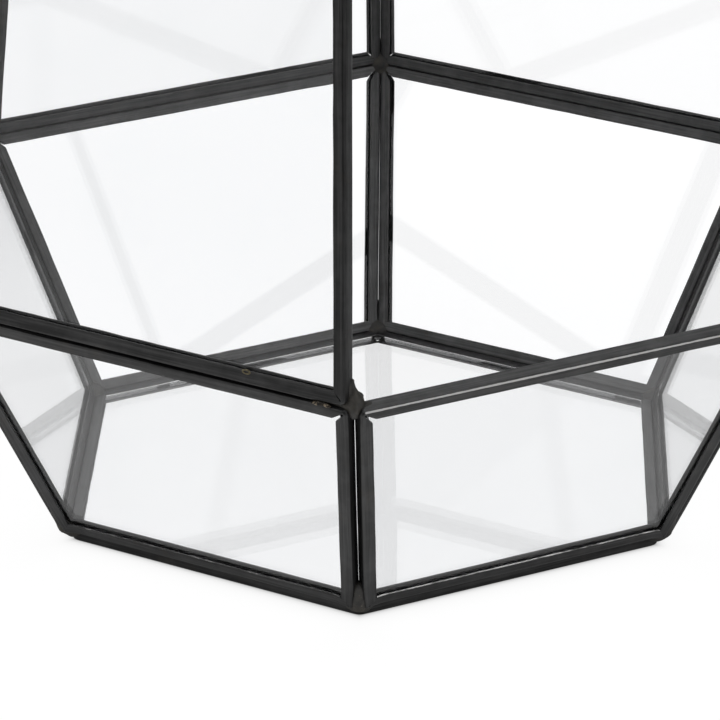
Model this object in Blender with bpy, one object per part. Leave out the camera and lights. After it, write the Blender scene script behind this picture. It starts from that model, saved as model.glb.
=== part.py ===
"""Hexagonal leaded-glass cloche: eighteen framed panes, soldered corner to corner.

Every pane sits in its own loop of folded U-channel. The loops stand edge to
edge on a faceted shell, a hairline apart, and are held together only by the
solder at the shell's corners. One upper side has neither channel nor pane and
is the access opening. A loose wire ring hangs in an eye at the apex.

Frame: metres, +Z up, origin on the ground at the centre of the base.
The shell has a corner towards -Y, its front; the access opening is the upper
side between that corner and the next one round towards +X.
"""

import bpy
import bmesh
from math import sin, cos, tan, radians, pi, acos
from mathutils import Vector, Matrix

# Channel
CHANNEL_WEB = 0.0048       # outside width across the web
BASE_CHANNEL_WEB = 0.0058  # the same for the base, whose pane is thicker
FLANGE_DEPTH = 0.0035      # outside depth of a flange
SHEET_THICKNESS = 0.0005
EDGE_GAP = 0.0002          # from the shell's edge line to each channel web
CORNER_LAND = 0.0008       # flange length left across a snipped corner

# Glass
GLASS_THICKNESS = 0.0030   # wall and roof panes
BASE_GLASS_THICKNESS = 0.0040
GLASS_FIT = 0.0004         # clearance between pane and channel

# Shell: corner radii, and the heights of its tiers
BASE_RADIUS = 0.0980
MID_RADIUS = 0.1352        # widest ring
SHOULDER_RADIUS = 0.1185   # foot of the roof
LOWER_HEIGHT = 0.0762      # base to widest ring
UPPER_HEIGHT = 0.1520      # widest ring to shoulder
ROOF_HEIGHT = 0.0760       # shoulder to apex

BASE_Z = BASE_CHANNEL_WEB  # the base channel stands on the ground
MID_Z = BASE_Z + LOWER_HEIGHT
SHOULDER_Z = MID_Z + UPPER_HEIGHT
APEX_Z = SHOULDER_Z + ROOF_HEIGHT

# Level name: (corner radius, height)
LEVELS = {
    "base": (BASE_RADIUS, BASE_Z),
    "mid": (MID_RADIUS, MID_Z),
    "shoulder": (SHOULDER_RADIUS, SHOULDER_Z),
    "apex": (0.0, APEX_Z),
}

# Corners run counter-clockwise seen from above; side i joins corners i and i + 1.
CORNERS = ["front", "right_front", "right_back", "back", "left_back", "left_front"]
SIDES = ["front_right", "right", "back_right", "back_left", "left", "front_left"]
SIDE_COUNT = len(SIDES)
FIRST_CORNER_ANGLE = -90.0  # degrees, towards -Y
OPEN_SIDE = 0               # index of the upper side left open

# Solder
SOLDER_GAP = 0.0003        # clearance between a joint and the channels
SOLDER_RADIUS = 0.0037
SOLDER_OUT = 0.0018        # from a shell corner out to the joint's middle
SOLDER_FOOT_Z = 0.0006     # height at which the base joints are cut flat
SOLDER_RISE = {"base": -0.35, "mid": 0.0, "shoulder": 0.5}  # outward slope, rise over run
SOLDER_SUBDIVISIONS = 2

CAP_RADIUS = 0.0080
CAP_TOP = 0.0050           # cap's top above the shell's apex
CAP_SINK = 0.0020          # cap's middle below the shell's apex

# Wirework: radii of the centre line and of the wire
EYE_RADIUS = 0.0032
EYE_WIRE_RADIUS = 0.0009
EYE_SEGMENTS = (24, 10)    # round the loop, round the wire
EYE_Z = APEX_Z + CAP_TOP + SOLDER_GAP + EYE_WIRE_RADIUS + EYE_RADIUS

RING_RADIUS = 0.0130
RING_WIRE_RADIUS = 0.0011
RING_SEGMENTS = (48, 12)
RING_LEAN = -125.0         # degrees about X; the ring falls towards the back

# Mesh clean-up
MERGE_DISTANCE = 1e-7
CUT_TOLERANCE = 1e-8
SHARP_ANGLE = 40.0         # degrees


# ------------------------------------------------------------ scene and objects
def clear_scene():
    for obj in list(bpy.data.objects):
        bpy.data.objects.remove(obj, do_unlink=True)


def add_material(name, colour, roughness, metallic, alpha=1.0, ior=1.45, transmission=0.0):
    mat = bpy.data.materials.new(name)
    mat.use_nodes = True
    inputs = mat.node_tree.nodes["Principled BSDF"].inputs
    inputs["Base Color"].default_value = (*colour, 1.0)
    inputs["Roughness"].default_value = roughness
    inputs["Metallic"].default_value = metallic
    inputs["Alpha"].default_value = alpha
    inputs["IOR"].default_value = ior
    inputs["Transmission Weight"].default_value = transmission
    mat.diffuse_color = (*colour, alpha)
    return mat


def add_materials():
    return {
        "channel": add_material("blackened_channel", colour=(0.035, 0.035, 0.037),
                                roughness=0.42, metallic=0.85),
        "solder": add_material("blackened_solder", colour=(0.060, 0.056, 0.050),
                               roughness=0.60, metallic=0.80),
        "glass": add_material("clear_glass", colour=(0.93, 0.96, 0.95),
                              roughness=0.02, metallic=0.0,
                              alpha=0.35, ior=1.52, transmission=1.0),
        "wire": add_material("blackened_wire", colour=(0.040, 0.040, 0.041),
                             roughness=0.38, metallic=0.85),
    }


def add_object(name, bm, mat, smooth=False):
    """Turn the bmesh into an object with merged vertices and outward normals."""
    bmesh.ops.remove_doubles(bm, verts=bm.verts, dist=MERGE_DISTANCE)
    bmesh.ops.recalc_face_normals(bm, faces=bm.faces)
    if bm.calc_volume(signed=True) < 0:
        bmesh.ops.reverse_faces(bm, faces=bm.faces)
    mesh = bpy.data.meshes.new(name)
    bm.to_mesh(mesh)
    bm.free()
    mesh.materials.append(mat)
    if smooth:
        mesh.shade_smooth()
        mesh.set_sharp_from_angle(angle=radians(SHARP_ANGLE))
    obj = bpy.data.objects.new(name, mesh)
    bpy.context.scene.collection.objects.link(obj)
    return obj


def skin_closed_rows(bm, rows):
    """Quads over a grid of vertices that closes on itself in both directions."""
    for i, row in enumerate(rows):
        next_row = rows[(i + 1) % len(rows)]
        for j in range(len(row)):
            k = (j + 1) % len(row)
            bm.faces.new((row[j], next_row[j], next_row[k], row[k]))


# ------------------------------------------------------------------------ shell
def shell_point(key):
    """The shell corner with the key (level, corner index)."""
    level, index = key
    radius, z = LEVELS[level]
    angle = radians(FIRST_CORNER_ANGLE + 360.0 / SIDE_COUNT * index)
    return Vector((radius * cos(angle), radius * sin(angle), z))


def shell_faces():
    """Every framed face of the shell as (name, corner keys)."""
    faces = [("base", [("base", i) for i in range(SIDE_COUNT)])]
    for i, side in enumerate(SIDES):
        j = (i + 1) % SIDE_COUNT
        faces.append(("lower_" + side, [("base", i), ("base", j), ("mid", j), ("mid", i)]))
        if i != OPEN_SIDE:
            faces.append(("upper_" + side,
                          [("mid", i), ("mid", j), ("shoulder", j), ("shoulder", i)]))
        faces.append(("roof_" + side, [("shoulder", i), ("shoulder", j), ("apex", 0)]))
    return faces


class FacePlane:
    """A shell face's own axes, and its outline counter-clockwise from outside."""

    def __init__(self, points):
        middle = sum(points, Vector()) / len(points)
        normal = (points[1] - points[0]).cross(points[2] - points[1]).normalized()
        if normal.dot(middle - Vector((0.0, 0.0, MID_Z))) < 0:
            normal = -normal
        self.origin = points[0].copy()
        self.normal = normal
        self.u_axis = (points[1] - points[0]).normalized()
        self.v_axis = normal.cross(self.u_axis)
        outline = [self.flatten(point) for point in points]
        double_area = sum(u0 * v1 - u1 * v0
                          for (u0, v0), (u1, v1) in zip(outline, outline[1:] + outline[:1]))
        self.outline = outline if double_area > 0 else outline[::-1]

    def flatten(self, point):
        offset = point - self.origin
        return (offset.dot(self.u_axis), offset.dot(self.v_axis))

    def lift(self, flat_point, height):
        """The space point at a height outside the face."""
        u, v = flat_point
        return self.origin + self.u_axis * u + self.v_axis * v + self.normal * height


def inset(outline, distance):
    """A counter-clockwise convex outline with every side moved in."""
    lines = []  # per side: a point on the moved side, then its unit direction
    for (x0, y0), (x1, y1) in zip(outline, outline[1:] + outline[:1]):
        length = ((x1 - x0) ** 2 + (y1 - y0) ** 2) ** 0.5
        dir_x, dir_y = (x1 - x0) / length, (y1 - y0) / length
        lines.append((x0 - dir_y * distance, y0 + dir_x * distance, dir_x, dir_y))
    corners = []
    for i, (next_x, next_y, next_dx, next_dy) in enumerate(lines):
        x, y, dir_x, dir_y = lines[i - 1]
        cross = dir_x * next_dy - dir_y * next_dx
        along = ((next_x - x) * next_dy - (next_y - y) * next_dx) / cross
        corners.append((x + dir_x * along, y + dir_y * along))
    return corners


def snip_width(angle):
    """Width of the cut across a corner that leaves CORNER_LAND at the flange tips."""
    return 2.0 * FLANGE_DEPTH * tan((pi - angle) / 4.0) + CORNER_LAND


def snip(outline):
    """The outline with every corner cut square to its bisector."""
    snipped = []
    for i in range(len(outline)):
        point = Vector(outline[i])
        to_previous = (Vector(outline[i - 1]) - point).normalized()
        to_next = (Vector(outline[(i + 1) % len(outline)]) - point).normalized()
        angle = acos(to_previous.dot(to_next))
        along = snip_width(angle) / (2.0 * sin(angle / 2.0))
        for direction in (to_previous, to_next):
            snipped.append(tuple(point + direction * along))
    return snipped


def channel_path(plane):
    """The outer edge of the channel loop on a face."""
    return snip(inset(plane.outline, EDGE_GAP))


# ------------------------------------------------------------ channel and glass
def channel_loop(plane, web):
    """A closed loop of U-channel lying on the shell face, open side inwards."""
    path = channel_path(plane)
    # Section points: (distance in from the path, height outside the face)
    section = [
        (0, 0),
        (0, web),
        (FLANGE_DEPTH, web),
        (FLANGE_DEPTH, web - SHEET_THICKNESS),
        (SHEET_THICKNESS, web - SHEET_THICKNESS),
        (SHEET_THICKNESS, SHEET_THICKNESS),
        (FLANGE_DEPTH, SHEET_THICKNESS),
        (FLANGE_DEPTH, 0),
    ]
    bm = bmesh.new()
    rows = [[bm.verts.new(plane.lift(point, height)) for point in inset(path, distance)]
            for distance, height in section]
    skin_closed_rows(bm, rows)
    return bm


def glass_pane(plane, thickness):
    """The pane inside the channel loop, clear of the web and both flanges."""
    margin = SHEET_THICKNESS + GLASS_FIT
    outline = inset(channel_path(plane), margin)
    bm = bmesh.new()
    inner = [bm.verts.new(plane.lift(point, margin)) for point in outline]
    outer = [bm.verts.new(plane.lift(point, margin + thickness)) for point in outline]
    bm.faces.new(inner[::-1])
    bm.faces.new(outer)
    for i in range(len(outline)):
        j = (i + 1) % len(outline)
        bm.faces.new((inner[i], inner[j], outer[j], outer[i]))
    return bm


def add_framed_face(name, plane, materials):
    if name == "base":
        web, thickness = BASE_CHANNEL_WEB, BASE_GLASS_THICKNESS
    else:
        web, thickness = CHANNEL_WEB, GLASS_THICKNESS
    add_object("channel_" + name, channel_loop(plane, web), materials["channel"])
    add_object("glass_" + name, glass_pane(plane, thickness), materials["glass"])


# ----------------------------------------------------------------------- solder
def snip_plane(points, i):
    """The snip at corner i of a face: (direction into the face, distance along it)."""
    to_previous = (points[i - 1] - points[i]).normalized()
    to_next = (points[(i + 1) % len(points)] - points[i]).normalized()
    inward = (to_previous + to_next).normalized()
    angle = acos(to_previous.dot(to_next))
    reach = EDGE_GAP / sin(angle / 2.0) + snip_width(angle) / (2.0 * tan(angle / 2.0))
    return inward, reach


def cut(bm, point, normal):
    """Remove everything on the normal's side of the plane and close the cut."""
    result = bmesh.ops.bisect_plane(
        bm, geom=list(bm.verts) + list(bm.edges) + list(bm.faces), dist=CUT_TOLERANCE,
        plane_co=point, plane_no=normal, clear_outer=True)
    edges = [item for item in result["geom_cut"] if isinstance(item, bmesh.types.BMEdge)]
    if edges:
        bmesh.ops.contextual_create(bm, geom=edges)


def solder_joint(key, snips):
    """Solder that fills the pocket left by the snipped channel corners."""
    level = key[0]
    point = shell_point(key)
    if level == "apex":
        middle = point + Vector((0, 0, -CAP_SINK))
        shape = Matrix.Diagonal((CAP_RADIUS, CAP_RADIUS, CAP_TOP + CAP_SINK, 1.0))
    else:
        radial = Vector((point.x, point.y, 0)).normalized()
        outward = (radial + Vector((0, 0, SOLDER_RISE[level]))).normalized()
        middle = point + outward * SOLDER_OUT
        shape = Matrix.Scale(SOLDER_RADIUS, 4)
    bm = bmesh.new()
    bmesh.ops.create_icosphere(bm, subdivisions=SOLDER_SUBDIVISIONS, radius=1.0)
    bm.transform(Matrix.Translation(middle) @ shape)
    for inward, reach in snips:
        cut(bm, point + inward * (reach - SOLDER_GAP), inward)
    if level == "base":
        cut(bm, Vector((0, 0, SOLDER_FOOT_Z)), Vector((0, 0, -1)))
    bmesh.ops.triangulate(bm, faces=bm.faces)
    return bm


def add_solder(key, snips, mat):
    level, index = key
    name = "apex_cap" if level == "apex" else "solder_" + level + "_" + CORNERS[index]
    add_object(name, solder_joint(key, snips), mat)


# --------------------------------------------------------------------- wirework
def torus(centre, rotation, loop_radius, wire_radius, segments):
    """A wire loop, drawn in the XY plane, then rotated and moved to its centre."""
    loop_count, wire_count = segments
    bm = bmesh.new()
    rows = []
    for i in range(loop_count):
        loop_angle = 2 * pi * i / loop_count
        row = []
        for j in range(wire_count):
            wire_angle = 2 * pi * j / wire_count
            radius = loop_radius + wire_radius * cos(wire_angle)
            point = Vector((radius * cos(loop_angle), radius * sin(loop_angle),
                            wire_radius * sin(wire_angle)))
            row.append(bm.verts.new(centre + rotation @ point))
        rows.append(row)
    skin_closed_rows(bm, rows)
    return bm


def add_lifting_eye(centre, mat):
    """The eye stands in the YZ plane on top of the cap."""
    rotation = Matrix.Rotation(radians(90), 3, "Y")
    bm = torus(centre, rotation, EYE_RADIUS, EYE_WIRE_RADIUS, EYE_SEGMENTS)
    add_object("lifting_eye", bm, mat, smooth=True)


def add_lifting_ring(pivot, mat):
    """The ring's own origin is on its pivot, the middle of the eye."""
    rotation = Matrix.Rotation(radians(90), 3, "X")
    bm = torus(Vector((0, 0, RING_RADIUS)), rotation, RING_RADIUS, RING_WIRE_RADIUS,
               RING_SEGMENTS)
    ring = add_object("lifting_ring", bm, mat, smooth=True)
    ring.location = pivot
    ring.rotation_euler = (radians(RING_LEAN), 0.0, 0.0)


# ------------------------------------------------------------------------ build
def build():
    clear_scene()
    materials = add_materials()

    snips_at = {}  # corner key: the snips of every framed face that meets there
    for name, keys in shell_faces():
        points = [shell_point(key) for key in keys]
        add_framed_face(name, FacePlane(points), materials)
        for i, key in enumerate(keys):
            snips_at.setdefault(key, []).append(snip_plane(points, i))
    for key, snips in snips_at.items():
        add_solder(key, snips, materials["solder"])

    eye_centre = Vector((0.0, 0.0, EYE_Z))
    add_lifting_eye(eye_centre, materials["wire"])
    add_lifting_ring(eye_centre, materials["wire"])


build()
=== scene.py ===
"""A six-sided glass cloche: panes in folded metal channel, soldered at the corners.

It stands on the floor (z = 0) round the Z axis, with one corner to the front (-Y). A wire
eye and ring top the roof, and the upper face right of the front corner is left open.
"""

from math import sin, cos, tan, radians, pi, acos, sqrt, exp
from types import SimpleNamespace

import bpy
import bmesh
from mathutils import Vector, Matrix, noise


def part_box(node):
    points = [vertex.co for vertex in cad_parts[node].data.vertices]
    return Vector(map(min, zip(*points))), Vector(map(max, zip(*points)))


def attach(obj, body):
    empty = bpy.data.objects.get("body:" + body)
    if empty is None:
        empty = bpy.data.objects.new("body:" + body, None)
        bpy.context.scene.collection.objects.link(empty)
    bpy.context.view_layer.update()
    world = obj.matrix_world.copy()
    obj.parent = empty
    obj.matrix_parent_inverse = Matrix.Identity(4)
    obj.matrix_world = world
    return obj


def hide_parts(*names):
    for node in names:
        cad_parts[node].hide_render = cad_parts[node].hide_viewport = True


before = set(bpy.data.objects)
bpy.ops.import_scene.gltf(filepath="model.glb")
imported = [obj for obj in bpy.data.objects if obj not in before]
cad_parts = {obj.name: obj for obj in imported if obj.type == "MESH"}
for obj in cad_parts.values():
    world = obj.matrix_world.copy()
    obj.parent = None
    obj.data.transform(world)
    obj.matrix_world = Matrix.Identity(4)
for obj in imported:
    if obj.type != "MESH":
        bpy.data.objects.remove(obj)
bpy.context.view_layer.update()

# ------------------------------------------------------------ sizes of the shell, in metres
BASE_R, MID_R, SHOULDER_R = 0.0980, 0.1352, 0.1185      # to the corners of each hexagon
LOWER_H, UPPER_H, ROOF_H = 0.0762, 0.1520, 0.0760
CH_WEB, BASE_WEB = 0.0048, 0.0058                       # width of the channel's web
CH_FLANGE, CH_T = 0.0035, 0.0005                        # flange depth, sheet thickness

Z_BASE = BASE_WEB
Z_MID = Z_BASE + LOWER_H
Z_SHOULDER = Z_MID + UPPER_H
Z_APEX = Z_SHOULDER + ROOF_H

RINGS = {"base": (BASE_R, Z_BASE), "mid": (MID_R, Z_MID), "shoulder": (SHOULDER_R, Z_SHOULDER)}

# Corner k and face k, which runs from corner k to the next, counted from the front
# anticlockwise as seen from above.
CORNERS = ["front", "right_front", "right_back", "back", "left_back", "left_front"]
FACES = ["front_right", "right", "back_right", "back_left", "left", "front_left"]
OPEN_FACE = 0


# ------------------------------------------------------------ small helpers
def clamp(value, lo=0.0, hi=1.0):
    return max(lo, min(hi, value))


def wob(seed, s, freq):
    """Smooth repeatable noise, about -1 to 1."""
    return noise.noise(Vector((seed * 7.31 + 0.5, s * freq, seed * 1.93)))


def finish_mesh(name, bm, material, sharp=60, replaces=None, body="cloche"):
    mesh = bpy.data.meshes.new(name)
    bm.to_mesh(mesh)
    bm.free()
    mesh.shade_smooth()
    mesh.set_sharp_from_angle(angle=radians(sharp))
    ob = bpy.data.objects.new(name, mesh)
    bpy.context.scene.collection.objects.link(ob)
    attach(ob, body)
    ob.data.materials.append(material)
    if replaces:
        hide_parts(replaces)


def close_tube(bm, rows):
    """Skin a tube whose rows, and the points in each row, both run round to the start."""
    for i, row in enumerate(rows):
        after = rows[(i + 1) % len(rows)]
        for j in range(len(row)):
            k = (j + 1) % len(row)
            bm.faces.new((row[j], after[j], after[k], row[k]))
    bmesh.ops.recalc_face_normals(bm, faces=bm.faces)


# ------------------------------------------------------------ shell
def corner(level, k):
    if level == "apex":
        return Vector((0.0, 0.0, Z_APEX))
    radius, z = RINGS[level]
    a = radians(-90.0 + 60.0 * k)
    return Vector((radius * cos(a), radius * sin(a), z))


class Pane:
    """A flat face of the shell with its own axes: u and v in the face, normal outward.

    keys are its corners as (level, number). poly holds them in u and v, anticlockwise.
    """

    def __init__(self, kind, face, keys):
        self.kind = kind
        self.tag = kind if face is None else kind + "_" + FACES[face]
        self.web = BASE_WEB if kind == "base" else CH_WEB
        points = [corner(*key) for key in keys]
        self.middle = sum(points, Vector()) / len(points)
        normal = (points[1] - points[0]).cross(points[2] - points[1]).normalized()
        if normal.dot(self.middle - Vector((0.0, 0.0, Z_MID))) < 0:
            normal = -normal
        self.origin = points[0].copy()
        self.normal = normal
        self.u = (points[1] - points[0]).normalized()
        self.v = normal.cross(self.u)
        poly = [self.flat(p) for p in points]
        area = sum(a[0] * b[1] - b[0] * a[1] for a, b in zip(poly, poly[1:] + poly[:1]))
        if area < 0:
            poly, keys = poly[::-1], keys[::-1]
        self.poly, self.keys = poly, keys
        self.names = [self.side_name(i) for i in range(len(keys))]

    def flat(self, point):
        d = point - self.origin
        return (d.dot(self.u), d.dot(self.v))

    def lift(self, q, height):
        return self.origin + self.u * q[0] + self.v * q[1] + self.normal * height

    def ends(self, i):
        return self.keys[i], self.keys[(i + 1) % len(self.keys)]

    def side_name(self, i):
        """The face across the base, bottom or top of a level side, else the shell corner."""
        (level_a, a), (level_b, b) = self.ends(i)
        if level_a == level_b:
            if self.kind == "base":
                return FACES[a] if (a + 1) % 6 == b else FACES[b]
            if level_a == "mid":
                return "top" if self.kind == "lower" else "bottom"
            return "bottom" if level_a == "base" else "top"
        return CORNERS[a if level_a != "apex" else b]


def shell_panes():
    panes = [Pane("base", None, [("base", k) for k in range(6)])]
    for j in range(6):
        k = (j + 1) % 6
        panes.append(Pane("lower", j, [("base", j), ("base", k), ("mid", k), ("mid", j)]))
        if j != OPEN_FACE:
            panes.append(Pane("upper", j, [("mid", j), ("mid", k),
                                           ("shoulder", k), ("shoulder", j)]))
        panes.append(Pane("roof", j, [("shoulder", j), ("shoulder", k), ("apex", 0)]))
    return panes


def side_leans(panes):
    """Half the angle between the panes that meet at a side, by its two corner keys."""
    normals = {}
    for pane in panes:
        for i in range(len(pane.keys)):
            normals.setdefault(frozenset(pane.ends(i)), []).append(pane.normal)
    return {pair: acos(clamp(found[0].dot(found[1]), -1.0)) / 2.0
            for pair, found in normals.items() if len(found) == 2}


def inset(poly, distances):
    """An anticlockwise convex polygon with each side moved in by its own distance."""
    count = len(poly)
    lines = []
    for i in range(count):
        (x0, y0), (x1, y1) = poly[i], poly[(i + 1) % count]
        length = sqrt((x1 - x0) ** 2 + (y1 - y0) ** 2)
        tx, ty = (x1 - x0) / length, (y1 - y0) / length
        lines.append((x0 - ty * distances[i], y0 + tx * distances[i], tx, ty))
    out = []
    for i in range(count):
        ax, ay, atx, aty = lines[i - 1]
        bx, by, btx, bty = lines[i]
        det = atx * bty - aty * btx
        s = ((bx - ax) * bty - (by - ay) * btx) / det
        out.append((ax + atx * s, ay + aty * s))
    return out


# ------------------------------------------------------------ folded channel
EDGE_GAP = 0.0002        # inset of a channel that has no neighbour
TOUCH = 0.000008         # the folds of neighbouring channels all but touch
BEND = 0.00075           # outside radius of a fold
BEND_IN = 0.00028        # inside radius of a fold
EDGE_BEVEL = 0.00010     # bevel of a flange's cut edge
EDGE_ZONE = 0.00035      # wear of a cut edge fades out this far back from it
HOLD = 0.00105           # depth to which a corner stays joined; the snip starts here
SNIP_OPEN = 0.0012       # how far a flange tip is cut back from the mitre, if it gapes
SNIP_SHUT = 0.000004     # the same where the snipped ends were pressed together
SNIP_JITTER = 0.35       # share by which the cuts vary
SNIP_CLEAR = 1.6 * SNIP_OPEN     # from the mitre to the first plain row
CRIMP = 0.00062          # how far the outer folds lean together at the widest ring
CRIMP_LOWER = 0.6        # share of that on the edges between the lower panes
STAND_OFF = 0.0012       # how far the outside of a front bottom rail stands off its edge
CORNER_BEND = 0.0013     # radius of the web where it turns a pane corner
BASE_CORNER_BEND = 0.0034
CORNER_STEPS = 4
ROW_STEP = 0.006         # spacing of the rows along a side
FADE = 0.008             # unevenness dies away this near a corner
STAND_FADE = 2.2         # the stand-off dies away this many times nearer
FOLD_WEAR = 0.55         # wear at the middle of an outside fold

# Unevenness: (size, waves per metre, bias, seed step per side, seed on flange a, on b).
TIP_WAVE = (0.00013, 90.0, 0.0, 2.3, 0, 9)
TIP_RIPPLE = (0.00007, 330.0, 0.0, 1.3, 4, 5)
FLANGE_SPLAY = (0.00010, 45.0, -0.5, 4.1, 0, 7)
WEB_WAVE = (0.00007, 60.0, 0.2, 6.1, 0, 0)

# Parts of a side: a and b are the cut edges of the inner and outer flange, fa and fb
# the folds beside them. 1 is bare metal all along, 0.3 is blackened with few chips.
WEAR_ELSEWHERE = 0.30
WEAR = {
    ("lower_front_right", "bottom", "b"): 0.80, ("lower_front_right", "top", "fb"): 2.60,
    ("lower_front_right", "top", "b"): 0.45,
    ("lower_front_left", "bottom", "b"): 0.62, ("lower_front_left", "top", "fb"): 0.75,
    ("lower_right", "bottom", "b"): 0.8, ("lower_left", "bottom", "b"): 0.7,
    ("base", "front_left", "b"): 0.5, ("base", "back_left", "a"): 0.60,
    ("base", "back_right", "a"): 0.6,
    ("lower_back_left", "bottom", "a"): 0.8, ("lower_back_left", "top", "a"): 0.5,
    ("lower_back_right", "bottom", "a"): 0.6, ("lower_back_left", "back", "fa"): 0.7,
}
# Where a seam stands open: (channel, side): (width, from, to) along the side's height.
SEAM = {
    ("lower_front_left", "front"): (0.00007, 0.22, 1.0),
    ("lower_front_right", "front"): (0.00007, 0.22, 1.0),
    ("lower_back_left", "back"): (0.00004, 0.02, 0.42),
}
SEAM_TAPER = 0.12        # share of the height over which an open seam closes


def section(web):
    """Section of the channel: (depth, height, wear, group). Group w stays joined round a
    corner; a is the inner flange, at height 0, and b the outer flange."""
    zone, bevel = CH_FLANGE - EDGE_ZONE, CH_FLANGE - EDGE_BEVEL

    def arc(cx, cy, radius, start, end, steps, wear):
        points = []
        for i in range(steps + 1):
            a = radians(start + (end - start) * i / steps)
            middle = 1.0 - abs(2.0 * i / steps - 1.0)
            points.append((cx + radius * cos(a), cy + radius * sin(a), wear * middle, "w"))
        return points

    inner = CH_T + BEND_IN
    return [
        # flange a, outside, from its tip to the fold
        (CH_FLANGE, EDGE_BEVEL, 1.0, "a"),
        (bevel, 0.0, 0.8, "a"),
        (zone, 0.0, 0.0, "a"),
        # the outside of the web and its folds
        (HOLD, 0.0, 0.0, "w"),
        *arc(BEND, BEND, BEND, 270, 180, 4, FOLD_WEAR),
        (0.0, web * 0.5, 0.0, "w"),
        *arc(BEND, web - BEND, BEND, 180, 90, 4, FOLD_WEAR),
        (HOLD, web, 0.0, "w"),
        # round flange b
        (zone, web, 0.0, "b"),
        (bevel, web, 0.8, "b"),
        (CH_FLANGE, web - EDGE_BEVEL, 1.0, "b"),
        (CH_FLANGE, web - CH_T + EDGE_BEVEL, 1.0, "b"),
        (bevel, web - CH_T, 0.6, "b"),
        (zone, web - CH_T, 0.0, "b"),
        # the inside of the web
        (HOLD, web - CH_T, 0.0, "w"),
        *arc(inner, web - CH_T - BEND_IN, BEND_IN, 90, 180, 2, 0.0),
        *arc(inner, inner, BEND_IN, 180, 270, 2, 0.0),
        (HOLD, CH_T, 0.0, "w"),
        # flange a, inside
        (zone, CH_T, 0.0, "a"),
        (bevel, CH_T, 0.6, "a"),
        (CH_FLANGE, CH_T - EDGE_BEVEL, 1.0, "a"),
    ]


def crimp_of(pane, i):
    """How far side i's outer fold leans towards the channel across the edge."""
    levels = [key[0] for key in pane.ends(i)]
    if levels == ["mid", "mid"]:
        return 0.0 if FACES[OPEN_FACE] in pane.tag else CRIMP
    if pane.kind == "lower" and "mid" in levels and "base" in levels:
        return CRIMP * CRIMP_LOWER
    return 0.0


def seam_gap(pane, i, u):
    """How far the seam at side i stands open at u, the share of the way along it."""
    if (pane.tag, pane.names[i]) not in SEAM:
        return 0.0
    width, lo, hi = SEAM[(pane.tag, pane.names[i])]
    if pane.keys[i][0] == "mid":          # this side is run from the top down
        u = 1.0 - u
    middle, span = (lo + hi) / 2, (hi - lo) / 2
    return width * clamp((span - abs(u - middle)) / SEAM_TAPER) * (0.45 + 0.55 * u)


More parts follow.
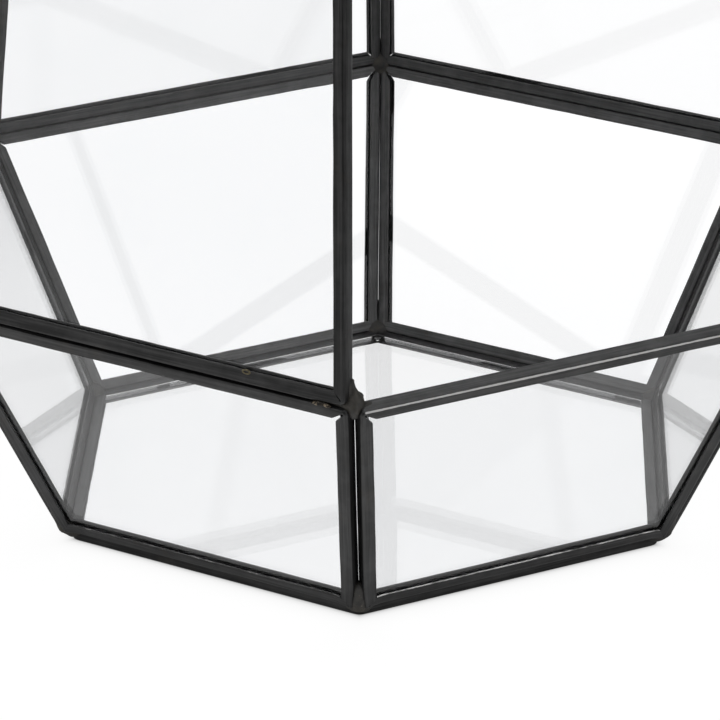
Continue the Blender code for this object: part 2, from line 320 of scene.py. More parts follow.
class Channel:
    """One loop of folded channel round a pane, snipped and folded at every corner."""

    def __init__(self, pane, seed, leans):
        self.pane, self.seed = pane, seed
        self.section = section(pane.web)
        self.girth = [0.0]                # distance round the section to each point
        for a, b in zip(self.section, self.section[1:]):
            self.girth.append(self.girth[-1] + sqrt((b[0] - a[0]) ** 2 + (b[1] - a[1]) ** 2))
        self.bend = BASE_CORNER_BEND if pane.kind == "base" else CORNER_BEND

        insets = []
        for i in range(len(pane.poly)):
            lean = leans.get(frozenset(pane.ends(i)))
            insets.append(EDGE_GAP if lean is None else
                          TOUCH + BEND * ((1.0 - sin(lean)) / cos(lean) - 1.0))
        self.corners = [Vector(q) for q in inset(pane.poly, insets)]
        count = len(self.corners)
        self.half = []                    # half the angle at each corner
        for i, here in enumerate(self.corners):
            before, after = self.corners[i - 1], self.corners[(i + 1) % count]
            self.half.append(acos((before - here).normalized().dot(
                (after - here).normalized())) / 2.0)

        self.bm = bmesh.new()
        layers = self.bm.verts.layers
        self.bar = layers.float_vector.new("bar")
        self.wear = layers.float.new("wear")
        self.lie = layers.float_vector.new("lie")
        self.sides = [self.side(i) for i in range(count)]
        rings = [self.run(side) for side in self.sides]
        for i in range(count):
            self.turn_corner(i, rings[i - 1][-1], rings[i][0])
        bmesh.ops.recalc_face_normals(self.bm, faces=self.bm.faces)
        if self.bm.calc_volume(signed=True) < 0:
            bmesh.ops.reverse_faces(self.bm, faces=self.bm.faces)

    def side(self, i):
        """Measures of side i; pairs are for its start and its end."""
        pane = self.pane
        k = (i + 1) % len(self.corners)
        start, end = self.corners[i], self.corners[k]
        length = (end - start).length
        along = (end - start) / length
        jitter = (wob(self.seed + i * 3.1, 0.3, 1.0), wob(self.seed + i * 5.7, 0.7, 1.0))
        snips = []
        for c, jit in zip((i, k), jitter):
            gapes = pane.kind == "lower" and pane.keys[c][0] == "mid"
            snips.append((1.0 + SNIP_JITTER * jit) * (SNIP_OPEN if gapes else SNIP_SHUT))
        stands = pane.kind == "lower" and pane.names[i] == "bottom" and "front" in pane.tag
        return SimpleNamespace(
            i=i, start=start, length=length, along=along,
            inward=Vector((-along.y, along.x)),
            direction=pane.u * along.x + pane.v * along.y,
            tans=(tan(self.half[i]), tan(self.half[k])), snips=snips,
            crimp=crimp_of(pane, i), stand=STAND_OFF if stands else 0.0)

    def vert(self, q, height, along, j, wear, direction):
        v = self.bm.verts.new(self.pane.lift(q, height))
        v[self.bar] = (along, self.girth[j], self.seed * 0.37)
        v[self.wear] = wear
        v[self.lie] = direction
        return v

    def station(self, side, row, count, depth, group):
        """Distance along a side of one section point in one row."""
        tan0, tan1 = side.tans
        if 0 < row < count:
            lo = CH_FLANGE / tan0 + SNIP_CLEAR
            hi = side.length - CH_FLANGE / tan1 - SNIP_CLEAR
            return lo + (hi - lo) * (row - 1) / (count - 2)
        if group == "w":
            return self.bend / tan0 if row == 0 else side.length - self.bend / tan1
        cut0, cut1 = (snip * (depth - HOLD) / (CH_FLANGE - HOLD) for snip in side.snips)
        return depth / tan0 + cut0 if row == 0 else side.length - depth / tan1 - cut1

    def waver(self, wave, i, group, s):
        size, freq, bias, step, seed_a, seed_b = wave
        seed = self.seed + i * step + (seed_b if group == "b" else seed_a)
        return size * (wob(seed, s, freq) + bias)

    def place(self, side, s, depth, height, group):
        """Depth and height of a section point, moved by gap, crimp and unevenness."""
        i, web = side.i, self.pane.web
        d, h = depth, height
        from_end = min(s, side.length - s)
        fade = min(1.0, from_end / FADE)
        rise = height / web
        reach = max(0.0, depth - HOLD) / (CH_FLANGE - HOLD)
        # an open seam starts 1 mm from the corner and is full 4 mm on
        d += seam_gap(self.pane, i, s / side.length) * clamp((from_end - 0.001) / 0.004)
        # the outer fold is crimped a little towards the next channel
        share = rise * (1.0 - reach)
        d -= side.crimp * share * share * clamp(fade)
        # some bottom rails stand a little off the base channel
        d += side.stand * (rise * (1.0 - reach) + reach) * clamp(fade * STAND_FADE)
        if group != "w":
            outward = -1.0 if group == "a" else 1.0
            d += reach * self.waver(TIP_WAVE, i, group, s) * fade
            d += reach * self.waver(TIP_RIPPLE, i, group, s) * fade
            h += outward * reach * self.waver(FLANGE_SPLAY, i, group, s) * fade
        elif abs(height - web / 2) < web / 2 - BEND * 0.4:
            d += self.waver(WEB_WAVE, i, group, s) * fade
        return d, h

    def run(self, side):
        """The rows of one side, skinned."""
        pane, i = self.pane, side.i
        count = max(3, int(side.length / ROW_STEP))
        rows = []
        for r in range(count + 1):
            row = []
            for j, (depth, height, wear, group) in enumerate(self.section):
                s = self.station(side, r, count, depth, group)
                d, h = self.place(side, s, depth, height, group)
                fold = "fa" if height < pane.web / 2 else "fb"
                part = group if wear >= 0.6 else fold
                wear *= WEAR.get((pane.tag, pane.names[i], part), WEAR_ELSEWHERE)
                q = side.start + side.along * s + side.inward * d
                row.append(self.vert(q, h, s + i * 0.31, j, wear, side.direction))
            rows.append(row)
        for here, after in zip(rows, rows[1:]):
            for j in range(len(here)):
                k = (j + 1) % len(here)
                self.bm.faces.new((here[j], after[j], after[k], here[k]))
        return rows

    def turn_corner(self, i, before, after):
        """Turn the web round corner i on a small radius and cap the snipped flanges."""
        size = len(self.section)
        web = [j for j in range(size) if self.section[j][3] == "w"]
        outer = [j for j in web if j < size / 2]
        inner = [j for j in web if j >= size / 2]
        last, side = self.sides[i - 1], self.sides[i]
        into = (side.inward + last.inward).normalized()
        centre = self.corners[i] + into * (self.bend / sin(self.half[i]))
        arm = -last.inward
        turn = acos(clamp(arm.dot(-side.inward), -1.0))
        prev = {j: before[j] for j in web}
        for step in range(1, CORNER_STEPS + 1):
            if step == CORNER_STEPS:
                cur = {j: after[j] for j in web}
            else:
                a = turn * step / CORNER_STEPS
                ray = Vector((arm.x * cos(a) - arm.y * sin(a),
                              arm.x * sin(a) + arm.y * cos(a)))
                cur = {}
                for j in web:
                    depth, height = self.section[j][:2]
                    cur[j] = self.vert(centre + ray * (self.bend - depth), height,
                                       0.5 + i * 0.2, j, 0.0, side.direction)
            pairs = [*zip(outer, outer[1:]), *zip(inner, inner[1:]),
                     (outer[-1], inner[0]), (inner[-1], outer[0])]
            for a, b in pairs:
                self.bm.faces.new((prev[a], cur[a], cur[b], prev[b]))
            prev = cur
        for ring in (before, after):
            self.bm.faces.new(ring[inner[-1]:] + ring[:outer[0] + 1])
            self.bm.faces.new(ring[outer[-1]:inner[0] + 1])


# ------------------------------------------------------------ materials
class Shader:
    """A node tree with short ways to add nodes. Most methods return an output socket."""

    def __init__(self, owner):
        owner.use_nodes = True
        self.owner, self.tree = owner, owner.node_tree
        self.nodes = self.tree.nodes

    def feed(self, node, inputs):
        for key, value in inputs.items():
            socket = node.inputs[key]
            if isinstance(value, bpy.types.NodeSocket):
                self.tree.links.new(value, socket)
            elif socket.type == "RGBA":
                socket.default_value = (*value, 1.0)
            else:
                socket.default_value = value

    def new(self, kind, inputs=None, **settings):
        node = self.nodes.new("ShaderNode" + kind)
        for key, value in settings.items():
            setattr(node, key, value)
        self.feed(node, inputs or {})
        return node

    def principled(self, inputs):
        self.feed(self.nodes["Principled BSDF"], inputs)
        return self.owner

    def coords(self, kind="Object"):
        return self.new("TexCoord").outputs[kind]

    def math(self, operation, *values):
        return self.new("Math", dict(enumerate(values)), operation=operation).outputs[0]

    def plus(self, a, b):
        return self.math("ADD", a, b)

    def lifted(self, value, base):
        return self.math("ADD", base, value)

    def times(self, value, by):
        return self.math("MULTIPLY", value, by)

    def inverse(self, value):
        return self.math("SUBTRACT", 1.0, value)

    def stretch(self, vector, by):
        return self.new("VectorMath", {0: vector, 1: by, 2: (0, 0, 0)},
                        operation="MULTIPLY_ADD").outputs[0]

    def noise(self, vector, scale=1.0, detail=3.0, rough=0.55, distort=0.0):
        return self.new("TexNoise", {"Scale": scale, "Detail": detail, "Roughness": rough,
                                     "Distortion": distort, "Vector": vector}).outputs["Fac"]

    def ramp(self, fac, stops):
        """stops are (position, linear colour)."""
        node = self.new("ValToRGB", {0: fac})
        elements = node.color_ramp.elements
        while len(elements) < len(stops):
            elements.new(0.5)
        for element, (position, colour) in zip(elements, stops):
            element.position = position
            element.color = (*colour, 1.0)
        return node.outputs[0]

    def mix(self, fac, under, over):
        return self.new("Mix", {0: fac, 6: under, 7: over}, data_type="RGBA").outputs[2]

    def mix_shader(self, fac, first, second):
        return self.new("MixShader", {0: fac, 1: first, 2: second}).outputs[0]

    def step(self, value, lo, hi):
        return self.new("MapRange", {0: value, 1: lo, 2: hi},
                        interpolation_type="SMOOTHSTEP").outputs[0]

    def bump(self, height, strength, distance):
        return self.new("Bump", {"Strength": strength, "Distance": distance,
                                 "Height": height}).outputs[0]


def new_shader(name):
    return Shader(bpy.data.materials.new(name))


def channel_material(name, barred):
    """Chemically blackened tinned sheet: streaked satin black. With barred, the streaks
    follow the bar attribute and the edges are worn; without, it is even all round."""
    sh = new_shader(name)
    obj = sh.coords()
    if barred:
        bar = sh.new("Attribute", attribute_name="bar").outputs["Vector"]
        wear = sh.new("Attribute", attribute_name="wear").outputs["Fac"]
        fine, wide = sh.stretch(bar, by=(50.0, 2600.0, 40.0)), (20.0, 800.0, 40.0)
    else:
        fine, wide = sh.stretch(obj, by=(900.0, 900.0, 900.0)), (300.0, 300.0, 300.0)
    lines_fine = sh.noise(fine, rough=0.6)
    lines_wide = sh.noise(sh.stretch(bar if barred else obj, by=wide), detail=2.0, rough=0.5)
    blotch = sh.noise(obj, scale=95.0, detail=4.0, rough=0.6, distort=0.4)
    cloud = sh.noise(obj, scale=28.0, detail=2.0, rough=0.5)
    pits = sh.noise(obj, scale=2600.0, detail=2.0, rough=0.7)

    tone = sh.plus(sh.times(lines_fine, by=0.5), sh.times(lines_wide, by=0.5))
    colour = sh.ramp(tone, [(0.34, (0.0030, 0.0030, 0.0033)),
                            (0.50, (0.0120, 0.0120, 0.0124)),
                            (0.64, (0.0400, 0.0400, 0.0405))])
    warm = sh.step(blotch, lo=0.56, hi=0.74)
    colour = sh.mix(sh.times(warm, by=0.55), under=colour, over=(0.034, 0.027, 0.017))
    cool = sh.step(cloud, lo=0.5, hi=0.72)
    colour = sh.mix(sh.times(cool, by=0.35), under=colour, over=(0.016, 0.020, 0.021))
    rough = sh.lifted(sh.times(tone, by=0.26), base=0.22)
    rough = sh.plus(rough, sh.times(blotch, by=0.12))
    dull_patch = sh.step(sh.noise(obj, scale=150.0, rough=0.6), lo=0.40, hi=0.66)
    if barred:
        # bare tin, where wear and chips add up
        chip = sh.noise(sh.stretch(bar, by=(260.0, 900.0, 40.0)), detail=4.0, rough=0.65)
        bare = sh.plus(sh.times(wear, by=1.0), sh.times(chip, by=0.9))
        bare = sh.step(bare, lo=1.05, hi=1.35)
        colour = sh.mix(bare, under=colour, over=(0.78, 0.77, 0.76))
        rough = sh.plus(rough, sh.times(bare, by=-0.06))
        sh.principled({"Metallic": sh.times(bare, by=0.55)})
    streak = sh.step(tone, lo=0.36, hi=0.62)
    shine = sh.plus(sh.times(streak, by=0.38), sh.times(dull_patch, by=0.22))
    height = sh.plus(sh.times(lines_fine, by=0.55), sh.times(pits, by=0.25))
    return sh.principled({
        "Base Color": colour,
        "Roughness": rough,
        "Specular IOR Level": sh.lifted(shine, base=0.62),
        "Normal": sh.bump(height, strength=0.5, distance=0.000010)})


def solder_material():
    """Blackened solder with rusty patches and bright specks."""
    sh = new_shader("blackened_solder_finish")
    obj = sh.coords()
    big = sh.noise(obj, scale=240.0, detail=4.0, rough=0.6, distort=0.5)
    fine = sh.noise(obj, scale=1500.0, detail=4.0, rough=0.7)
    speck = sh.noise(obj, scale=900.0, rough=0.75)
    colour = sh.ramp(big, [(0.32, (0.0200, 0.0195, 0.0190)), (0.50, (0.044, 0.0410, 0.0360)),
                           (0.66, (0.080, 0.071, 0.056))])
    rust = sh.step(sh.noise(obj, scale=170.0, rough=0.6), lo=0.60, hi=0.72)
    colour = sh.mix(sh.times(rust, by=0.6), under=colour, over=(0.055, 0.030, 0.014))
    bright = sh.step(speck, lo=0.665, hi=0.73)
    colour = sh.mix(bright, under=colour, over=(0.42, 0.38, 0.33))
    return sh.principled({
        "Base Color": colour,
        "Metallic": sh.times(bright, by=0.8),
        "Roughness": sh.lifted(sh.times(fine, by=0.3), base=0.42),
        "Specular IOR Level": 0.85,
        "Normal": sh.bump(sh.plus(fine, sh.times(big, by=1.2)),
                          strength=0.5, distance=0.00008)})


def flux_material(name, scale, stops):
    sh = new_shader(name)
    speckle = sh.noise(sh.coords(), scale=scale, rough=0.7)
    return sh.principled({"Base Color": sh.ramp(speckle, stops),
                          "Roughness": 0.45, "Metallic": 0.3})


def glass_material():
    """Clear float glass: light goes straight through, less the reflection off its faces."""
    sh = new_shader("clear_glass_finish")
    sh.nodes.remove(sh.nodes["Principled BSDF"])
    index = 1.50
    obj = sh.coords()
    smear = sh.noise(obj, scale=22.0, rough=0.6, distort=0.6)
    dust = sh.noise(obj, scale=1900.0, detail=2.0, rough=0.8)
    haze = sh.step(smear, lo=0.50, hi=0.75)
    tint = sh.mix(haze, under=(0.990, 0.992, 0.995), over=(0.984, 0.987, 0.990))
    flat = sh.new("NewGeometry").outputs["True Normal"]
    bend = sh.new("BsdfRefraction", {"IOR": index, "Roughness": 0.0, "Color": tint,
                                     "Normal": flat})
    gloss = sh.new("BsdfGlossy", {"Color": (1, 1, 1), "Roughness": 0.0, "Normal": flat})
    fresnel = sh.new("Fresnel", {"IOR": index, "Normal": flat})
    seen = sh.mix_shader(fresnel.outputs[0], bend.outputs[0], gloss.outputs[0])
    # light falls through the panes unbent, so they throw a faint shadow and no caustics
    through = sh.new("BsdfTransparent", {"Color": (0.955, 0.957, 0.960)}).outputs[0]
    path = sh.new("LightPath").outputs
    unbent = sh.math("MAXIMUM", path["Is Shadow Ray"], path["Is Diffuse Ray"])
    clear = sh.mix_shader(unbent, seen, through)
    dull = sh.new("BsdfDiffuse", {"Color": (0.30, 0.29, 0.27)}).outputs[0]
    specks = sh.times(sh.step(dust, lo=0.80, hi=0.86), by=0.5)
    sh.feed(sh.nodes["Material Output"], {"Surface": sh.mix_shader(specks, clear, dull)})
    return sh.owner


METAL = channel_material("blackened_channel_finish", barred=True)
SOLDER = solder_material()
GLASS = glass_material()
WIRE = channel_material("blackened_wire_finish", barred=False)


# ------------------------------------------------------------ solder
CORE_R = 0.0044          # radius of the blob on a plain corner
CORE_R_OPEN = 0.0031     # the same on a corner of the open face
CORE_DEPTH = 0.0029      # half its depth along the corner's outward direction
REACH_JITTER = 0.22
BLOB_STEP = 0.0009       # spacing of the blobs along a groove
BLOB_STRETCH = 1.35
FLOOR_CLEAR = 0.0004     # solder keeps this far above the floor
CAP_TOP = 0.0050         # top of the roof's cap above the apex


def blob(bm, centre, radius, stretch=None, amount=1.0):
    """A ball, drawn out along stretch by amount."""
    verts = bmesh.ops.create_icosphere(bm, subdivisions=2, radius=radius)["verts"]
    if stretch is not None:
        d = stretch.normalized()
        for v in verts:
            v.co += d * (v.co.dot(d) * (amount - 1.0))
    for v in verts:
        v.co += centre


def remeshed(bm, voxel, smooth):
    """The bmesh's closed shells merged into one skin."""
    mesh = bpy.data.meshes.new("tmp")
    bm.to_mesh(mesh)
    bm.free()
    ob = bpy.data.objects.new("tmp", mesh)
    bpy.context.scene.collection.objects.link(ob)
    merge = ob.modifiers.new("r", "REMESH")
    merge.mode = "VOXEL"
    merge.voxel_size = voxel
    soften = ob.modifiers.new("s", "SMOOTH")
    soften.factor = 0.6
    soften.iterations = smooth
    evaluated = ob.evaluated_get(bpy.context.evaluated_depsgraph_get())
    out = bpy.data.meshes.new_from_object(evaluated)
    bpy.data.objects.remove(ob, do_unlink=True)
    bpy.data.meshes.remove(mesh)
    skin = bmesh.new()
    skin.from_mesh(out)
    bpy.data.meshes.remove(out)
    return skin


def lumpy_skin(bm, voxel, smooth, coarse, fine, seed=0.0):
    """Merge the blobs and roughen them; coarse and fine are (size, frequency)."""
    skin = remeshed(bm, voxel, smooth)
    skin.normal_update()
    for v in skin.verts:
        lumps = noise.noise(v.co * coarse[1] + Vector((seed, 0, 0)))
        grain = noise.noise(v.co * fine[1] + Vector((0, seed, 0)))
        v.co += v.normal * (coarse[0] * lumps + fine[0] * grain)
    return skin


def gather_corners(panes):
    """Every shell corner: its place, the panes' normals, and the edges that leave it."""
    found = {}
    for pane in panes:
        places = [pane.lift(q, 0.0) for q in pane.poly]
        for i, key in enumerate(pane.keys):
            spot = found.setdefault(key, SimpleNamespace(place=places[i], normals=[],
                                                         edges={}))
            spot.normals.append(pane.normal)
            for n in (i - 1, (i + 1) % len(places)):
                edge = spot.edges.setdefault(pane.keys[n], SimpleNamespace(
                    direction=(places[n] - places[i]).normalized(), normals=[]))
                edge.normals.append(pane.normal)
                edge.middle = pane.middle
    return found


def groove_reach(key, other, half):
    """How far solder runs from corner key towards corner other."""
    if half is None:
        return 0.0046
    if key[0] == "base":
        return 0.0072 if other[0] == "mid" else 0.0034
    if key == ("mid", 0) and other == ("mid", 5):
        return 0.0125                     # a run of crusted solder along this groove
    if key == ("mid", 0) and other[0] == "base":
        return 0.0040
    return 0.0064


def solder_groove(bm, key, other, spot, g, seed):
    """Blobs along the edge from corner key to corner other; g is the edge's number."""
    edge = spot.edges[other]
    mouth = sum(edge.normals, Vector()).normalized()
    half = None
    if len(edge.normals) > 1:
        half = acos(clamp(edge.normals[0].dot(mouth), -1.0))
    full = 1.0 if key[0] == "base" and other[0] == "mid" else 0.0     # heaped solder
    across = edge.middle - spot.place
    inward = across - edge.direction * across.dot(edge.direction)
    inward.normalize()
    reach = groove_reach(key, other, half) * (1.0 + REACH_JITTER * wob(seed + g, 0.4, 1.0))
    count = max(7, int(reach / BLOB_STEP))
    for s in range(1, count + 1):
        f = s / count
        if half is not None:
            # run into the open groove between two channels
            r = (0.0029 * sin(half) + 0.0006 + 0.0004 * full) * (
                1.0 - (0.5 - 0.3 * full) * f * f)
            centre = mouth * (0.0024 + 0.0004 * full - 0.0007 * f)
        else:
            # a thin skin on the web of a channel that has no neighbour
            r = 0.0016 * (1.0 - 0.2 * f)
            centre = mouth * 0.0015 + inward * (r - 0.00030 * (1.0 - f * f))
        r *= 1.0 + 0.10 * wob(seed + g * 2.2, f * 3.0, 1.0)
        blob(bm, spot.place + edge.direction * reach * f + centre, r, edge.direction,
             BLOB_STRETCH)


def open_fillet(bm, key, place):
    """A fillet inside a corner of the open face, where no channel runs."""
    level, k = key
    along = (corner("mid", 1) - corner("mid", 0)).normalized()
    if k == OPEN_FACE + 1:
        along = -along
    rise = (corner("shoulder", k) - corner("mid", k)).normalized()
    if level == "shoulder":
        rise = -rise
    outward = rise.cross(along).normalized()
    if outward.dot(Vector((place.x, place.y, 0))) < 0:
        outward = -outward
    for s in range(25):
        f = s / 24.0
        # hollow: tall and thin by the post, short along the rail
        up, out = 0.0048 * (1.0 - f) ** 2.0, 0.0030 * f ** 2.0
        r = 0.0007 + 0.0005 * sin(pi * f)
        blob(bm, place + rise * (0.0012 + up) + along * (out - 0.0006) - outward * 0.0006,
             r, outward, 2.0)


def solder_joint(key, spot, seed):
    """Solder run into the grooves where the channels meet, one skin over the corner."""
    level, k = key
    by_opening = k in (OPEN_FACE, OPEN_FACE + 1) and level in ("mid", "shoulder")
    radius = CORE_R_OPEN if by_opening else CORE_R
    out = sum(spot.normals, Vector()).normalized()
    bm = bmesh.new()
    blob(bm, spot.place + out * (0.0003 if by_opening else 0.0009), radius, out,
         CORE_DEPTH / radius)
    for g, other in enumerate(sorted(spot.edges)):
        solder_groove(bm, key, other, spot, g, seed)
    if by_opening:
        open_fillet(bm, key, spot.place)
    skin = lumpy_skin(bm, voxel=0.00042, smooth=5, coarse=(0.00022, 420.0),
                      fine=(0.00009, 1300.0), seed=seed)
    for v in skin.verts:
        v.co.z = max(v.co.z, FLOOR_CLEAR)
    name = level + "_" + CORNERS[k]
    finish_mesh("joint_" + name, skin, SOLDER, replaces="solder_" + name)


def flux_ring(pane):
    """A dried ring of flux on the bottom rail of the upper pane left of the front corner."""
    from_corner, depth = 0.0316, 0.0029   # its centre, along the rail and into the pane
    radius, wire = 0.00088, 0.00026
    i = [n for n in range(4) if [key[0] for key in pane.ends(n)] == ["mid", "mid"]][0]
    a, b = Vector(pane.poly[i]), Vector(pane.poly[(i + 1) % 4])
    run = (b - a).normalized()
    into = Vector((-(b - a).y, (b - a).x)).normalized()
    start, run = (a, run) if pane.keys[i][1] == 0 else (b, -run)
    at = start + run * from_corner + into * depth
    bm = bmesh.new()
    rows = []
    for q in range(28):
        t = 2 * pi * q / 28
        rad = radius * (1.0 + 0.12 * wob(4.0, q / 28.0, 2.0) * sin(t))
        thick = wire * (1.0 + 0.3 * noise.noise(Vector((cos(t), sin(t), 2.0))))
        row = []
        for w in range(8):
            v = 2 * pi * w / 8
            # longer along the bar than across it
            spot = (at + run * ((rad * 1.25 + thick * 1.3 * cos(v)) * cos(t))
                    + into * ((rad * 0.62 + thick * cos(v)) * sin(t)))
            row.append(bm.verts.new(pane.lift(spot, CH_WEB + 0.00002
                                              + thick * 0.8 * sin(v))))
        rows.append(row)
    close_tube(bm, rows)
    material = flux_material("dried_flux_finish", scale=2400.0, stops=[
        (0.35, (0.075, 0.062, 0.036)), (0.58, (0.300, 0.255, 0.150))])
    finish_mesh("flux_ring", bm, material)


def flux_crust(spot):
    """A crust of flux in the groove left of the front corner, nearer it than the ring."""
    edge = spot.edges[("mid", 5)]
    mouth = sum(edge.normals, Vector()).normalized()
    bm = bmesh.new()
    for q in range(16):
        f = q / 15.0
        wander = noise.noise(Vector((q * 0.83, 3.1, 7.7)))
        lift = Vector((0, 0, 0.0003 * noise.noise(Vector((q * 0.61, 9.2, 1.3)))))
        blob(bm, spot.place + edge.direction * (0.0050 + 0.0054 * f)
             + mouth * (0.0047 + 0.0002 * wander) + lift,
             (0.00072 + 0.0003 * wander) * (0.55 + 0.45 * sin(pi * f)), edge.direction, 1.3)
    skin = lumpy_skin(bm, voxel=0.00026, smooth=3, coarse=(0.00014, 900.0),
                      fine=(0.00008, 2600.0))
    material = flux_material("crusted_flux_finish", scale=1100.0, stops=[
        (0.40, (0.022, 0.018, 0.014)), (0.54, (0.060, 0.047, 0.034)),
        (0.62, (0.42, 0.34, 0.24))])
    finish_mesh("flux_crust", skin, material)


def apex_cap():
    """A flat-topped cap of solder over the six roof corners."""
    bm = bmesh.new()
    apex = corner("apex", 0)
    blob(bm, apex + Vector((0, 0, 0.0012)), 0.0042)
    for k in range(6):
        ridge = (corner("shoulder", k) - apex).normalized()
        for s in range(1, 6):
            f = s / 5.0
            blob(bm, apex + ridge * (0.0095 * f) + Vector((0, 0, 0.0026 - 0.0003 * f)),
                 0.0031 * (1 - f) + 0.0016 * f, ridge, 1.25)
    skin = lumpy_skin(bm, voxel=0.00045, smooth=6, coarse=(0.00020, 380.0),
                      fine=(0.00008, 1200.0))
    for v in skin.verts:
        v.co.z = min(v.co.z, Z_APEX + CAP_TOP)
    finish_mesh("apex_solder", skin, SOLDER, replaces="apex_cap")


# ------------------------------------------------------------ wire eye and ring
EYE_R, EYE_WIRE = 0.0032, 0.0009
RING_R, RING_WIRE = 0.0130, 0.0011
RING_LEAN = -125.0       # degrees about X: the ring has fallen to the back
LOOP_TRIM, WIRE_TRIM = 0.985, 0.96       # the bent loops are a little smaller and thinner
BUTT_SWELL, BUTT_SPAN = 0.16, 0.0012     # swelling of the soldered butt, and its length


def wire_loop(name, centre, basis, major, minor, seed, body, replaces, seg, ring_seg,
              butt_deg=None):
    """A round wire bent to a loop, slightly out of true, with a soldered butt if placed."""
    major, minor = major * LOOP_TRIM, minor * WIRE_TRIM
    bm = bmesh.new()
    rows = []
    for i in range(seg):
        a = 2 * pi * i / seg
        off = 0.006 * noise.noise(Vector((cos(a) * 1.3, sin(a) * 1.3, seed)))
        bulge = 0.0
        if butt_deg is not None:
            from_butt = (a - radians(butt_deg) + pi) % (2 * pi) - pi
            bulge = BUTT_SWELL * exp(-(from_butt * major / BUTT_SPAN) ** 2)
        row = []
        for j in range(ring_seg):
            b = 2 * pi * j / ring_seg
            thick = minor * (1.0 + bulge + 0.02 * noise.noise(
                Vector((cos(a) * 6, sin(a) * 6, j * 0.9 + seed))))
            r = major * (1 + off) + thick * cos(b)
            row.append(bm.verts.new(centre + basis @ Vector((r * cos(a), r * sin(a),
                                                             thick * sin(b)))))
        rows.append(row)
    close_tube(bm, rows)
    finish_mesh(name, bm, WIRE, replaces=replaces, body=body)


def eye_and_ring():
    """The eye stands in the YZ plane; the ring hangs from its centre."""
    eye_lo, eye_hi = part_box("lifting_eye")
    centre = Vector((0, 0, (eye_lo.z + eye_hi.z) / 2.0))
    wire_loop("wire_eye", centre, Matrix.Rotation(radians(90), 3, "Y"), EYE_R, EYE_WIRE,
              seed=2.0, body="cloche", replaces="lifting_eye", seg=64, ring_seg=14)
    lean = Matrix.Rotation(radians(RING_LEAN), 3, "X")
    wire_loop("wire_ring", centre + lean @ Vector((0, 0, RING_R)),
              lean @ Matrix.Rotation(radians(90), 3, "X"), RING_R, RING_WIRE,
              seed=5.0, body="lifting_ring", replaces="lifting_ring", seg=96, ring_seg=16,
              butt_deg=40)


# ------------------------------------------------------------ build
panes = shell_panes()
leans = side_leans(panes)
for n, pane in enumerate(panes):
    finish_mesh("folded_" + pane.tag, Channel(pane, n + 1.0, leans).bm,
                METAL, sharp=32, replaces="channel_" + pane.tag)

spots = gather_corners(panes)
for n, key in enumerate(sorted(spots)):
    if key[0] != "apex":
        solder_joint(key, spots[key], seed=3.0 + n * 1.7)
flux_ring([pane for pane in panes if pane.tag == "upper_front_left"][0])
flux_crust(spots[("mid", 0)])
apex_cap()
eye_and_ring()

# panes: the CAD glass, with its finish
for name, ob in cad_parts.items():
    if name.startswith("glass_"):
        ob.data.materials.clear()
        ob.data.materials.append(GLASS)
        ob.visible_shadow = True

# ------------------------------------------------------------ studio
scene = bpy.context.scene

FLOOR_R = 9.0
FLOOR_GLOW = 0.956       # brightness of the floor as seen
METAL_SKY = 0.075        # share of the sky that lights the dark metal
PAINTED_SHADOW_FALLOFF, PAINTED_SHADOW_DEPTH = 0.0012, 0.70       # fall-off and depth of the shadow painted on the floor round the foot


def seen_directly(sh):
    """1 for what the camera sees, straight or through glass; 0 for reflections and light."""
    path = sh.new("LightPath").outputs
    first = sh.math("MAXIMUM", path["Is Camera Ray"], path["Is Transmission Ray"])
    for depth in ("Glossy Depth", "Diffuse Depth"):
        first = sh.times(first, by=sh.math("LESS_THAN", path[depth], 0.5))
    return first


def mirrored(sh):
    """1 for what a pane mirrors sharply."""
    path = sh.new("LightPath").outputs
    return sh.times(path["Is Singular Ray"],
                    by=sh.math("LESS_THAN", path["Diffuse Depth"], 0.5))


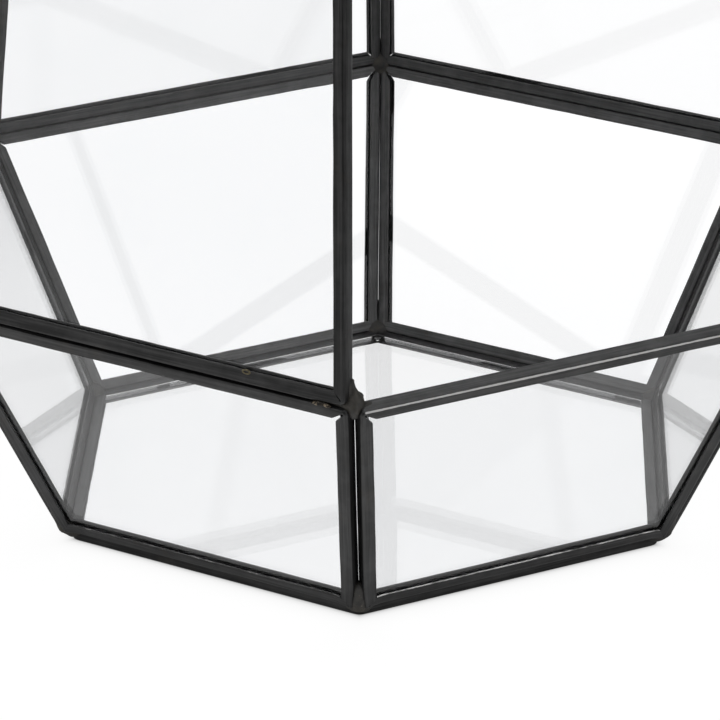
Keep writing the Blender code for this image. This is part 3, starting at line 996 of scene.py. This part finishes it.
def floor_material():
    """Pale sweep: matt where the camera sees it, with a painted shadow round its foot and
    painted light under the panes; to what the metal and panes reflect it glows, with a painted
    pool of light round the object and painted shade at its foot.
    """
    sh = new_shader("studio_floor")
    sh.nodes.remove(sh.nodes["Principled BSDF"])
    obj = sh.coords()
    radius = sh.new("VectorMath", {0: obj}, operation="LENGTH").outputs["Value"]
    near = sh.step(radius, lo=0.75, hi=0.20)
    # distance out from the hexagon the object stands on
    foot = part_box("channel_base")[1].x - 0.0004
    sides = None
    for k in range(3):
        facing = (cos(radians(60 * k)), sin(radians(60 * k)), 0.0)
        dot = sh.new("VectorMath", {0: obj, 1: facing}, operation="DOT_PRODUCT")
        far = sh.math("ABSOLUTE", dot.outputs["Value"])
        sides = far if sides is None else sh.math("MAXIMUM", sides, far)
    out_by = sh.math("SUBTRACT", sides, foot)
    inside = sh.math("LESS_THAN", out_by, 0.0)
    # painted shadow: the floor's glow is darkened in a thin band round the foot, outside the
    # hexagon only
    painted_foot_shadow = sh.math("POWER", 2.718, sh.times(sh.math("MAXIMUM", out_by, 0.0),
                                              by=-1.0 / PAINTED_SHADOW_FALLOFF))
    painted_foot_shadow = sh.times(painted_foot_shadow, by=sh.inverse(inside))
    strength = sh.times(FLOOR_GLOW, by=sh.inverse(sh.times(painted_foot_shadow, by=PAINTED_SHADOW_DEPTH)))
    # painted light: the floor under the panes glows a little brighter
    strength = sh.plus(strength, sh.times(inside, by=0.012))
    # far out the floor meets the pale background without a line
    strength = sh.plus(strength, sh.times(sh.inverse(near), by=0.055))
    matt = sh.new("BsdfDiffuse", {"Color": (0.15, 0.15, 0.1503)}).outputs[0]
    glow = sh.new("Emission", {"Color": (1, 1, 1), "Strength": strength}).outputs[0]
    seen = sh.new("AddShader", {0: matt, 1: glow}).outputs[0]
    # what the metal and the panes reflect: a painted pool of light round the object, with
    # painted shade at its foot
    out_of_painted_shade = sh.step(out_by, lo=-0.006, hi=0.022)
    rough_lit = sh.lifted(sh.times(sh.times(near, by=out_of_painted_shade), by=0.40), base=0.08)
    sharp_lit = sh.lifted(sh.times(near, by=0.47), base=0.28)
    pick = mirrored(sh)
    lit = sh.new("Emission", {"Strength": sh.plus(
        sh.times(sharp_lit, by=pick), sh.times(rough_lit, by=sh.inverse(pick)))}).outputs[0]
    sh.feed(sh.nodes["Material Output"],
            {"Surface": sh.mix_shader(seen_directly(sh), lit, seen)})
    return sh.owner


def studio_floor():
    bm = bmesh.new()
    bm.faces.new([bm.verts.new((FLOOR_R * cos(2 * pi * i / 64),
                                FLOOR_R * sin(2 * pi * i / 64), 0.0)) for i in range(64)])
    mesh = bpy.data.meshes.new("floor")
    bm.to_mesh(mesh)
    bm.free()
    floor = bpy.data.objects.new("floor", mesh)
    scene.collection.objects.link(floor)
    floor.data.materials.append(floor_material())


def studio_world():
    """A sky brighter overhead, to the back and to the right; plain white seen directly."""
    scene.world = bpy.data.worlds.new("studio")
    sh = Shader(scene.world)
    axes = sh.new("SeparateXYZ", {0: sh.coords("Generated")}).outputs
    high = sh.step(axes[2], lo=0.08, hi=0.42)
    rear = sh.step(axes[1], lo=-0.25, hi=0.75)
    sky = sh.lifted(sh.times(high, by=0.46), base=0.12)
    sky = sh.plus(sky, sh.times(rear, by=0.14))
    right_side = sh.step(axes[0], lo=0.1, hi=0.95)
    sky = sh.plus(sky, sh.times(right_side, by=0.12))
    # the panes mirror the whole studio; the dark metal is lit by a dim share of it
    share = sh.lifted(sh.times(mirrored(sh), by=1.0 - METAL_SKY), base=METAL_SKY)
    lit = sh.nodes["Background"]
    sh.feed(lit, {"Color": (1.0, 1.0, 1.0), "Strength": sh.times(sky, by=share)})
    plain = sh.new("Background", {"Color": (1.0, 1.0, 1.0), "Strength": 1.0})
    sh.feed(sh.nodes["World Output"], {"Surface": sh.mix_shader(
        seen_directly(sh), lit.outputs[0], plain.outputs[0])})


def softbox(name, place, aim_z, size, power):
    """A square area light turned to a point on the Z axis."""
    light = bpy.data.lights.new(name, "AREA")
    light.shape = "RECTANGLE"
    light.size = light.size_y = size
    light.energy = power
    ob = bpy.data.objects.new(name, light)
    ob.location = place
    to_aim = Vector((0, 0, aim_z)) - Vector(place)
    ob.rotation_euler = to_aim.to_track_quat("-Z", "Y").to_euler()
    scene.collection.objects.link(ob)


def studio_camera():
    """A long lens at the front, looking down at the lower part of the cloche."""
    azimuth, tilt, roll = radians(-1.795), radians(22.9785), radians(-0.2046)
    distance = 1.4859544
    aim_height = Z_BASE + 0.031023
    aim_left = 0.0026304                  # of the Z axis
    data = bpy.data.cameras.new("camera")
    data.sensor_width = 36.0
    data.lens = 250.0
    data.clip_start = 0.01
    data.clip_end = 60.0
    cam = bpy.data.objects.new("camera", data)
    scene.collection.objects.link(cam)
    forward = Vector((sin(azimuth) * cos(tilt), cos(azimuth) * cos(tilt), -sin(tilt)))
    right = Vector((cos(azimuth), -sin(azimuth), 0.0))
    up = right.cross(forward)
    cam_x = right * cos(roll) + up * sin(roll)
    cam_y = -right * sin(roll) + up * cos(roll)
    place = Vector((0, 0, aim_height)) - right * aim_left - forward * distance
    cam.matrix_world = Matrix((
        (cam_x.x, cam_y.x, -forward.x, place.x),
        (cam_x.y, cam_y.y, -forward.y, place.y),
        (cam_x.z, cam_y.z, -forward.z, place.z),
        (0, 0, 0, 1)))
    scene.camera = cam


studio_floor()
studio_world()
softbox("softbox_top", (0.0, 0.1, 1.9), aim_z=0.1, size=2.2, power=14.0)
softbox("softbox_left", (-1.45, -0.85, 0.62), aim_z=0.08, size=1.5, power=4.8)
softbox("softbox_right", (1.45, -0.85, 0.62), aim_z=0.08, size=1.5, power=5.6)
studio_camera()

scene.view_settings.view_transform = "Standard"
scene.view_settings.look = "None"
scene.view_settings.exposure = 0.0
scene.view_settings.gamma = 1.0

bpy.context.view_layer.update()
